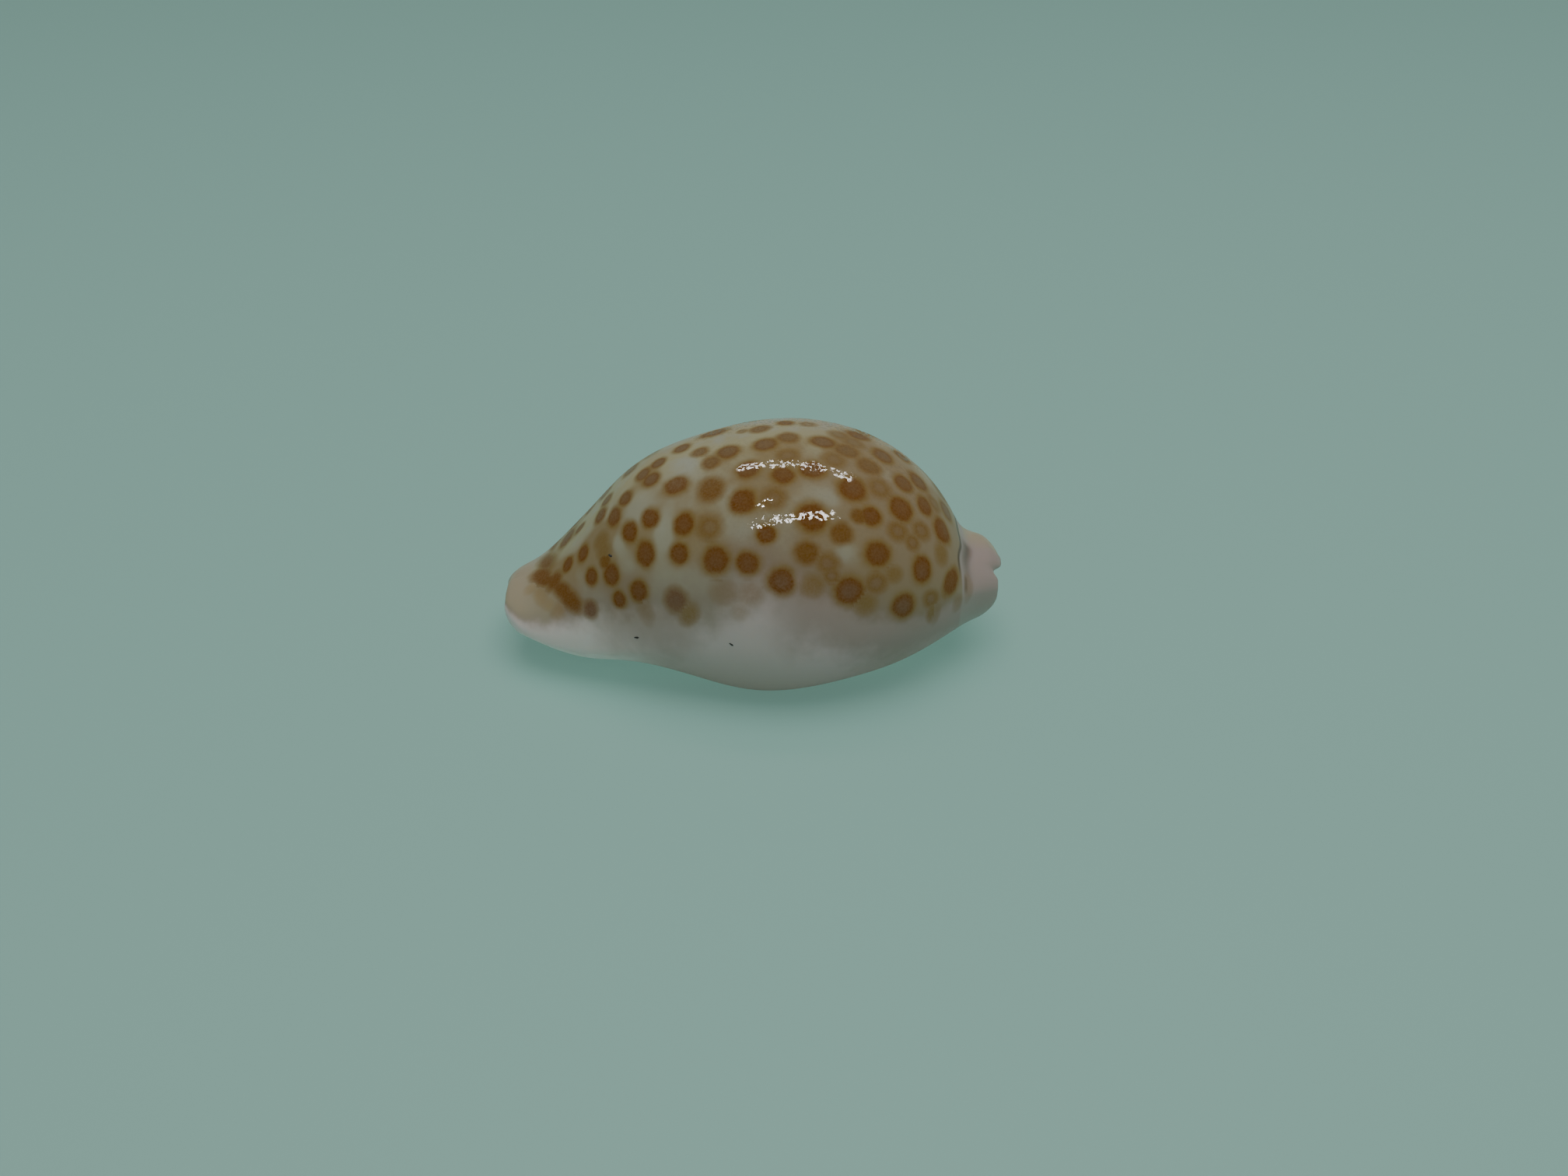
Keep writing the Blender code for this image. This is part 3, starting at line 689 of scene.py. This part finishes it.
class Enamel(Wiring):
    """Paints the shell's enamel, one layer over another, each between steps of row and place.

    A step's first two numbers say where a layer begins and where it is full, and the next two how much of
    it there is at both. across is the place with a sign, below 0 on the labral side. past is how far a
    point lies below the upper limit of the white margins, which rises, falls and wanders along the shell."""

    def __init__(self, tree, looks):
        super().__init__(tree)
        self.looks = looks
        self.millimetres = self.vector("SCALE", self.add("ShaderNodeTexCoord", output="Object"), MILLIMETRES)
        self.row, self.place = row, place = self.field("row"), self.field("place")
        self.across = self.product(place, self.math("MULTIPLY_ADD", self.field("columellar"), 2.0, -1.0))
        self.wander = self.product(self.noise(0.9, shift=(2.0, 5.0, 3.0)), 0.1)
        limit = self.total(self.step(row, 0.1, 0.35, 0.45, 0.535), self.step(row, 0.42, 0.5, 0.0, -0.065),
                           self.step(row, 0.57, 0.83, 0.0, 0.155))
        frayed = self.stirred(self.total(place, self.wander), 0.07, 3.0, shift=(6.0, 1.0, 2.0))
        self.past = self.math("SUBTRACT", frayed, limit)

    def field(self, name):
        return self.add("ShaderNodeAttribute", output="Fac", attribute_name=name)

    def colour(self, name):
        return (*getattr(self.looks, name), 1)

    def noise(self, scale, detail=2.0, roughness=0.5, shift=(0.0, 0.0, 0.0)):
        """Cloudy noise with this many cycles in a millimetre, about 0 in the mean and 0.5 at most."""
        made = self.add("ShaderNodeTexNoise", {
            "Vector": self.vector("ADD", self.millimetres, shift), "Scale": scale, "Detail": detail,
            "Roughness": roughness})
        return self.math("SUBTRACT", made, 0.5)

    def stirred(self, value, amount, *noise, **more_noise):
        """A value with this amount of noise added."""
        return self.math("MULTIPLY_ADD", self.noise(*noise, **more_noise), amount, value)

    def over(self, under, name, share):
        """A named colour in this share, from 0 to 1, over what is under it."""
        return self.tint(share, under, self.colour(name))

    def back(self):
        """Cream ground: golden along the crest, tan where spots crowd, else clouded, and duskier low down."""
        row, place = self.row, self.place
        crowded = self.total(self.field("warm"), self.step(row, 0.5, 0.85, 0.0, 0.4),
                             self.step(row, 0.25, 0.1, 0.0, 0.3), self.step(place, 0.22, 0.0, 0.0, -0.45))
        warm = self.stirred(crowded, 0.9, 1.6)
        mist = self.stirred(self.total(warm, self.step(place, 0.27, 0.42, 0.0, 0.5)), -2.0, 1.9,
                            shift=(3.0, 1.0, 7.0))
        dim = self.highest(self.step(self.past, -0.25, 0.0, 0.0, 0.8), self.step(row, 0.5, 0.8, 0.0, 0.32))
        ground = self.over(self.colour("cream"), "crest", self.step(place, 0.2, 0.02))
        ground = self.over(ground, "cloud", self.step(mist, 0.55, -0.5, 0.0, 0.7))
        ground = self.over(ground, "wash", self.step(warm, 0.45, 1.35, 0.0, 0.75))
        return self.over(ground, "dusk", dim)

    def margins(self, skin):
        """White margins, greyed downwards by painted shade and whitened at the front by a painted highlight,
        with a darker pinkish band along parts of their upper limit.
        """
        row, place, past = self.row, self.place, self.past
        # Painted shade, and partly the enamel's own greyer tone: the margins grey low on the flanks, less
        # towards the rear.
        low = self.product(self.step(place, 0.57, 0.8), self.step(row, 0.95, 0.8, 0.5, 1.0))
        shaded_flank = self.over(self.colour("margin"), "rose", self.step(row, 0.5, 0.85))
        shaded_flank = self.over(shaded_flank, "shaded_flank", low)
        # Painted highlight: the front margins are whitened where a highlight runs along them.
        shaded_flank = self.over(shaded_flank, "front_highlight", self.step(row, 0.36, 0.19))
        skin = self.tint(self.step(past, -0.07, 0.08), skin, shaded_flank)
        banded_rows = self.highest(self.step(row, 0.5, 0.62), self.near(row, 0.31, 0.13, 0.05, 0.7))
        return self.over(skin, "dusk", self.product(banded_rows, self.near(past, 0.05, 0.12, 0.0, 0.65)))

    def ends(self, skin):
        """A peach front end and a pinkish rear end, with painted shade in the crease and soft folds of the
        rear step.
        """
        row, place, across = self.row, self.place, self.across
        front_row = self.math("MULTIPLY_ADD", place, -0.13, self.total(row, self.wander))
        rear_row = self.math("MULTIPLY_ADD", self.wander, 0.1, row)
        # Painted shade: the crease, the fold and the streak darken the rear step where the back overhangs it
        # and its hollows lie in shade.
        crease_row = self.total(self.near(across, 0.18, 0.15, 0.0, 0.005), 0.907)
        crease_shade = self.product(self.near(row, crease_row, 0.005), self.step(across, -0.4, -0.1),
                              self.step(across, 0.46, 0.3))
        fold_shade = self.product(self.near(row, 0.926, 0.017, 0.0, 0.75), self.step(across, 0.03, 0.12),
                            self.step(across, 0.5, 0.16))
        streak_shade = self.product(self.near(row, 0.921, 0.007, 0.0, 0.7), self.step(across, 0.34, 0.42),
                              self.step(across, 0.56, 0.48))
        far_lobe = self.product(self.step(row, 0.915, 0.93), self.step(across, 0.12, -0.12),
                                self.step(place, 0.5, 0.25))
        tip = self.product(self.step(front_row, 0.1, 0.02), self.step(self.past, 0.05, -0.1))
        skin = self.over(skin, "front", tip)
        skin = self.over(skin, "rear", self.step(rear_row, 0.908, 0.914))
        skin = self.over(skin, "shade", self.highest(crease_shade, fold_shade, streak_shade))
        return self.over(skin, "front", far_lobe)

    def pigment(self, eye, tone, ring):
        """A spot's own colour: golden rim, brown ring and mauve-brown middle, or peach to tan where weak,
        with a painted sheen paling it on the crest.
        """
        row, place = self.row, self.place
        middle = self.product(self.step(eye, 0.85, 0.2), ring)
        # Painted sheen: the crest's spots pale towards a milky grey, standing in for a reflection of light
        # from above.
        crest_sheen_share = self.product(self.step(place, 0.26, 0.02), self.step(row, 0.12, 0.25),
                             self.step(eye, 1.0, 0.4, 0.2, 0.45))
        low_down = self.product(middle, self.step(row, 0.86, 0.82), self.step(place, 0.36, 0.46, 0.0, 0.4))
        golden = self.product(self.step(eye, 0.72, 1.1), self.step(tone, 0.6, 1.0))
        pigment = self.over(self.colour("peach"), "tan", self.step(tone, 0.3, 0.5))
        pigment = self.over(pigment, "brown", self.step(tone, 0.45, 1.0))
        pigment = self.over(pigment, "gold", golden)
        pigment = self.over(pigment, "mauve", self.product(middle, 0.65))
        pigment = self.over(pigment, "crest_sheen", crest_sheen_share)
        pigment = self.over(pigment, "veiled", low_down)
        return self.over(pigment, "veiled", self.product(self.field("cool"), 0.85))

    def spots(self, skin):
        """The spots with their wandering outlines, on a golden halo. They stop at the white margins."""
        tone, ring, blur = (self.field(name) for name in ("tone", "ring", "blur"))
        eye = self.stirred(self.field("eye"), 0.4, 2.6, 1.0)
        eye = self.stirred(eye, 0.14, 9.0, shift=(5.0, 2.0, 1.0))
        rim, softness = 1.02, self.math("MULTIPLY_ADD", blur, 0.35, 0.31)
        cover = self.step(eye, self.math("SUBTRACT", rim, softness), self.total(rim, softness), 1.0, 0.0)
        grain = self.step(self.noise(20.0, shift=(1.0, 8.0, 4.0)), -0.2, 0.2, 0.78, 1.0)
        pale_middle = self.product(self.step(eye, 0.7, 0.2), ring, self.step(tone, 0.95, 0.65, 0.0, 0.5))
        solid = self.math("SUBTRACT", 1.0, pale_middle)
        above_margin = self.step(self.past, 0.11, 0.02)
        strength = self.product(cover, grain, self.step(tone, 0.0, 0.8), solid, above_margin)
        halo = self.product(self.step(eye, 1.6, 1.0, 0.0, 0.32), tone, above_margin)
        skin = self.over(skin, "gold", halo)
        return self.tint(strength, skin, self.pigment(eye, tone, ring))

    def lining(self, skin):
        """White lips, and the brown lining of the hollow."""
        skin = self.over(skin, "lip", self.step(self.field("from_lip"), -0.235, -0.13))
        return self.over(skin, "hollow", self.field("inside"))

    def bump(self, height, **more):
        inputs = {"Height": height, "Strength": 1.0, "Distance": BUMP_HEIGHT, **more}
        return self.add("ShaderNodeBump", inputs)

    def polished(self, skin):
        """A soft body under a polished coat, whose very fine grain breaks a narrow glint into sparks."""
        row, place = self.row, self.place
        swell = self.bump(self.noise(1.4, 1.0, shift=(9.0, 4.0, 2.0)))
        grainy = self.bump(self.noise(4.5, 1.0, shift=(4.0, 4.0, 9.0)), Normal=swell)
        grains = self.stirred(self.noise(11.0, 2.0, 0.6, shift=(2.0, 6.0, 8.0)), 0.12, 2.2, 1.0,
                              shift=(8.0, 2.0, 3.0))
        calm = self.highest(self.step(place, 0.05, 0.0), self.step(place, 0.32, 0.42),
                            self.step(row, 0.42, 0.36), self.step(row, 0.8, 0.86))
        return self.add("ShaderNodeBsdfPrincipled", {
            "Base Color": skin, "Roughness": self.stirred(0.45, 0.12, 6.0, 3.0, shift=(7.0, 7.0, 7.0)),
            "Normal": swell, "IOR": 1.45, "Specular IOR Level": 0.0, "Subsurface Weight": 0.35,
            "Subsurface Radius": (1.0, 0.75, 0.55), "Subsurface Scale": LIGHT_DEPTH,
            "Coat Weight": self.blend(calm, self.step(grains, 0.0, 0.08), 0.4), "Coat Roughness": 0.04,
            "Coat IOR": 1.45, "Coat Normal": grainy})


def enamel_material(looks):
    """Polished enamel: spotted cream back, white margins and ends, brown hollow."""
    material = bpy.data.materials.new("cowrie enamel")
    material.use_nodes = True
    tree = material.node_tree
    tree.nodes.clear()
    enamel = Enamel(tree, looks)
    skin = enamel.back()
    for layer in (enamel.margins, enamel.ends, enamel.spots, enamel.lining):
        skin = layer(skin)
    exit_node = tree.nodes.new("ShaderNodeOutputMaterial")
    tree.links.new(enamel.polished(skin), exit_node.inputs["Surface"])
    return material


def dust_material():
    """Matt, nearly black dust."""
    material = bpy.data.materials.new("dust")
    material.use_nodes = True
    w = Wiring(material.node_tree)
    shader = material.node_tree.nodes["Principled BSDF"]
    at = w.vector("SCALE", w.add("ShaderNodeTexCoord", output="Object"), MILLIMETRES)
    patchy = w.add("ShaderNodeTexNoise", {"Vector": at, "Scale": 40.0})
    material.node_tree.links.new(w.tint(patchy, *DUST_COLOURS), shader.inputs["Base Color"])
    shader.inputs["Roughness"].default_value = 0.85
    return material


def floor_material(shade, glow):
    """Plain pale matt floor that glows faintly, like a light table, which keeps the shadow soft."""
    material = bpy.data.materials.new("floor")
    material.use_nodes = True
    shader = material.node_tree.nodes["Principled BSDF"]
    shader.inputs["Base Color"].default_value = (*shade, 1)
    shader.inputs["Roughness"].default_value = 0.6
    shader.inputs["Specular IOR Level"].default_value = 0.2
    shader.inputs["Emission Color"].default_value = (*shade, 1)
    shader.inputs["Emission Strength"].default_value = glow
    return material


def linked(name, data):
    """A new object in the scene."""
    obj = bpy.data.objects.new(name, data)
    bpy.context.scene.collection.objects.link(obj)
    return obj


def lamp(name, place, aim, size, power, long_way=None):
    """A rectangular lamp that shines from place to aim. Its first side lies along long_way."""
    light = bpy.data.lights.new(name, "AREA")
    light.shape = "RECTANGLE"
    light.size, light.size_y = size
    light.energy = power
    obj = linked(name, light)
    back = (Vector(place) - Vector(aim)).normalized()
    side = Vector(long_way or (1, 0, 0))
    side = (side - side.dot(back) * back).normalized()
    up = back.cross(side)
    obj.matrix_world = Matrix((side, up, back)).transposed().to_4x4()
    obj.location = place
    obj.visible_camera = False
    return obj


def placed_spots():
    """The placed spots as points, with their axes in spot radii and the looks of their kinds."""
    points, fields = [], {name: [] for name in ("along", "across", "outward", *SPOT_FIELDS)}
    for kind, spots in SPOTS.items():
        for row, place, radius, tall, lean in spots:
            point, along, across, outward = surface_frame(row, place, lean)
            size = radius * SHELL_LENGTH
            axes = (along / size, across / (size * tall), outward * OUTWARD_SHARE / size)
            points.append(point)
            for values, value in zip(fields.values(), (*axes, *SPOT_KINDS[kind])):
                values.append(value)
    return linked("placed_spots", point_mesh("placed_spots", points, fields))


class CowrieForm(bpy.types.PropertyGroup):
    """Sizes of the shell's small forms."""

    tooth_pitch: FloatProperty(name="Tooth pitch", description="Distance from tooth to tooth",
                               default=0.042 * SHELL_LENGTH, unit="LENGTH", precision=5)
    tooth_height: FloatProperty(name="Tooth height", description="How far a tooth stands out of its lip",
                                default=0.011 * SHELL_LENGTH, unit="LENGTH", precision=5)
    spot_spacing: FloatProperty(name="Spot spacing", description="Least distance between strewn spots",
                                default=0.052 * SHELL_LENGTH, unit="LENGTH", precision=5)
    spot_smallest: FloatProperty(name="Smallest spot", description="Radius of the smallest strewn spot",
                                 default=0.015 * SHELL_LENGTH, unit="LENGTH", precision=5)
    spot_largest: FloatProperty(name="Largest spot", description="Radius of the largest strewn spot",
                                default=0.026 * SHELL_LENGTH, unit="LENGTH", precision=5)
    seed: IntProperty(name="Seed", description="Which scatter of spots the far side has", default=4)


def shade_property(name, description, default):
    """A colour that a user can change."""
    return FloatVectorProperty(name=name, description=description, subtype="COLOR", size=3, min=0, max=1,
                               default=default)


class CowrieLooks(bpy.types.PropertyGroup):
    """Colours of the enamel."""

    cream: shade_property("Cream", "Ground of the back", (0.485, 0.455, 0.33))
    crest: shade_property("Crest", "Golden ground along the crest", (0.54, 0.5, 0.3))
    cloud: shade_property("Cloud", "Bluish-white clouds on the back", (0.53, 0.55, 0.46))
    wash: shade_property("Wash", "Tan wash where spots crowd", (0.37, 0.255, 0.11))
    tan: shade_property("Tan", "Pale spots", (0.31, 0.182, 0.042))
    gold: shade_property("Gold", "Rims of the spots", (0.31, 0.18, 0.03))
    brown: shade_property("Brown", "Rings of the spots", (0.25, 0.093, 0.012))
    mauve: shade_property("Mauve", "Middles of the spots", (0.255, 0.12, 0.045))
    veiled: shade_property("Veiled", "Spots under the enamel", (0.26, 0.16, 0.11))
    margin: shade_property("Margin", "White margins", (0.74, 0.605, 0.58))
    # Painted highlight: whiter margins at the front.
    front_highlight: shade_property("Highlight", "White margins at the front", (0.97, 0.82, 0.78))
    # Painted shade, and partly the enamel's own greyer tone: the margins darken low on the flanks.
    shaded_flank: shade_property("Flank", "Greyer enamel low on the flanks", (0.445, 0.24, 0.2))
    front: shade_property("Front", "Peach-white front end", (0.54, 0.465, 0.325))
    rear: shade_property("Rear", "Pinkish-white rear end", (0.495, 0.405, 0.365))
    # Painted shade laid in the crease and folds of the rear step.
    shade: shade_property("Shade", "Dark crease and folds of the rear step", (0.16, 0.12, 0.08))
    dusk: shade_property("Dusk", "Pinkish ground above the margins", (0.37, 0.278, 0.218))
    peach: shade_property("Peach", "Weak stains at the front end", (0.5, 0.31, 0.1))
    rose: shade_property("Rose", "Pinkish margins towards the rear", (0.83, 0.595, 0.635))
    # Painted sheen: paler spots on the crest, standing in for a reflection of light from above.
    crest_sheen: shade_property("Sheen", "Milky enamel over the spots on the crest", (0.31, 0.27, 0.17))
    lip: shade_property("Lip", "White lips and teeth", (0.62, 0.62, 0.55))
    hollow: shade_property("Hollow", "Brown lining of the hollow", (0.2, 0.11, 0.06))


class CowrieStage(bpy.types.PropertyGroup):
    """The floor and the lights."""

    floor: shade_property("Floor", "Pale grey-green floor", (0.215, 0.4, 0.345))
    glow: FloatProperty(name="Glow", description="How strongly the floor glows", default=0.46, min=0)
    sky: FloatProperty(name="Sky", description="Strength of the even light from all round", default=0.15,
                       min=0)
    softbox: FloatProperty(name="Softbox", description="Power of the soft lamp above", default=0.13, min=0,
                           unit="POWER")


class CowrieOperator:
    """What the shell's operators share."""

    bl_options = {"REGISTER", "UNDO"}


class COWRIE_OT_make_shell(CowrieOperator, bpy.types.Operator):
    """Make the shell with its teeth, spots and enamel"""

    bl_idname = "cowrie.make_shell"
    bl_label = "Make Shell"

    def execute(self, context):
        form, looks = context.scene.cowrie_form, context.scene.cowrie_looks
        enamel = enamel_material(looks)
        shell = linked("cowrie_shell", shell_mesh())
        spans = {f"{lip} {word}": value for lip, values in LIP_TEETH.items()
                 for word, value in zip(TOOTH_SPAN, values)}
        apply_tree(shell, teeth_tree(), {
            "Pitch": form.tooth_pitch / SHELL_LENGTH, "Height": form.tooth_height, **spans,
            "Material": enamel})
        placed = placed_spots()
        apply_tree(shell, spots_tree(), {
            "Placed Spots": placed, "Spacing": form.spot_spacing, "Smallest": form.spot_smallest,
            "Largest": form.spot_largest, "Clearance": STREWN_CLEARANCE * SHELL_LENGTH, "Seed": form.seed,
            "Material": enamel})
        bpy.data.objects.remove(placed)
        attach(shell, "root")
        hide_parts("shell")
        return {"FINISHED"}


class COWRIE_OT_sprinkle_dust(CowrieOperator, bpy.types.Operator):
    """Lay a few tiny flakes of dust on the shell"""

    bl_idname = "cowrie.sprinkle_dust"
    bl_label = "Sprinkle Dust"

    def execute(self, context):
        frames = [surface_frame(row, place) for row, place, *_ in DUST]
        fields = {"outward": [outward for *_, outward in frames], "size": [size for *_, size, _ in DUST],
                  "spin": [math.radians(angle) for *_, angle in DUST]}
        dust = linked("dust_flakes", point_mesh("dust_flakes", [point for point, *_ in frames], fields))
        apply_tree(dust, dust_tree(), {"Flake Radius": FLAKE_RADIUS, "Material": dust_material()})
        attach(dust, "root")
        return {"FINISHED"}


class COWRIE_OT_set_stage(CowrieOperator, bpy.types.Operator):
    """Make the floor, the lights and the camera"""

    bl_idname = "cowrie.set_stage"
    bl_label = "Set Stage"

    def execute(self, context):
        look = context.scene.cowrie_stage
        floor_mesh = bpy.data.meshes.new("floor")
        turns = [2 * math.pi * i / FLOOR_SIDES for i in range(FLOOR_SIDES)]
        corners = [(FLOOR_RADIUS * math.cos(turn), FLOOR_RADIUS * math.sin(turn), 0) for turn in turns]
        floor_mesh.from_pydata(corners, [], [range(FLOOR_SIDES)])
        floor_mesh.materials.append(floor_material(look.floor, look.glow))
        floor = linked("floor", floor_mesh)

        world = bpy.data.worlds.new("soft sky")
        context.scene.world = world
        world.use_nodes = True
        background = world.node_tree.nodes["Background"]
        background.inputs["Color"].default_value = SKY_COLOUR
        background.inputs["Strength"].default_value = look.sky

        softbox = lamp("softbox", SOFTBOX_PLACE, SOFTBOX_AIM, SOFTBOX_SIZE, look.softbox)
        softbox.visible_glossy = False
        for name, left, right, width, power in STRIPS:
            left, right = Vector(left), Vector(right)
            long_way = right - left
            strip = lamp(name, (left + right) / 2, STRIP_AIM, (long_way.length, width), power, long_way)
            strip.visible_diffuse = False

        camera_data = bpy.data.cameras.new("camera")
        camera_data.lens = CAMERA_LENS
        camera_data.sensor_width = CAMERA_SENSOR
        camera_data.clip_start = CAMERA_NEAREST
        camera = linked("camera", camera_data)
        camera.location = CAMERA_PLACE
        towards = Vector(CAMERA_TARGET) - Vector(CAMERA_PLACE)
        camera.rotation_euler = towards.to_track_quat("-Z", "Y").to_euler()
        context.scene.camera = camera
        return {"FINISHED"}


class COWRIE_PT_panel(bpy.types.Panel):
    """The shell's buttons, in the 3D view's sidebar"""

    bl_label = "Spotted Cowrie"
    bl_idname = "COWRIE_PT_panel"
    bl_space_type = "VIEW_3D"
    bl_region_type = "UI"
    bl_category = "Cowrie"

    def draw(self, context):
        for operator in OPERATORS:
            self.layout.operator(operator.bl_idname)
        for group in GROUPS:
            values = getattr(context.scene, group)
            box = self.layout.box()
            for name in values.__annotations__:
                box.prop(values, name)


OPERATORS = (COWRIE_OT_make_shell, COWRIE_OT_sprinkle_dust, COWRIE_OT_set_stage)
GROUPS = {"cowrie_form": CowrieForm, "cowrie_looks": CowrieLooks, "cowrie_stage": CowrieStage}


def register():
    for cls in (*GROUPS.values(), *OPERATORS, COWRIE_PT_panel):
        bpy.utils.register_class(cls)
    for name, group in GROUPS.items():
        setattr(bpy.types.Scene, name, PointerProperty(type=group))


def unregister():
    for name in GROUPS:
        delattr(bpy.types.Scene, name)
    for cls in (COWRIE_PT_panel, *OPERATORS, *GROUPS.values()):
        bpy.utils.unregister_class(cls)


def main():
    register()
    bpy.ops.cowrie.make_shell()
    bpy.ops.cowrie.sprinkle_dust()
    bpy.ops.cowrie.set_stage()


if __name__ == "__main__":
    main()
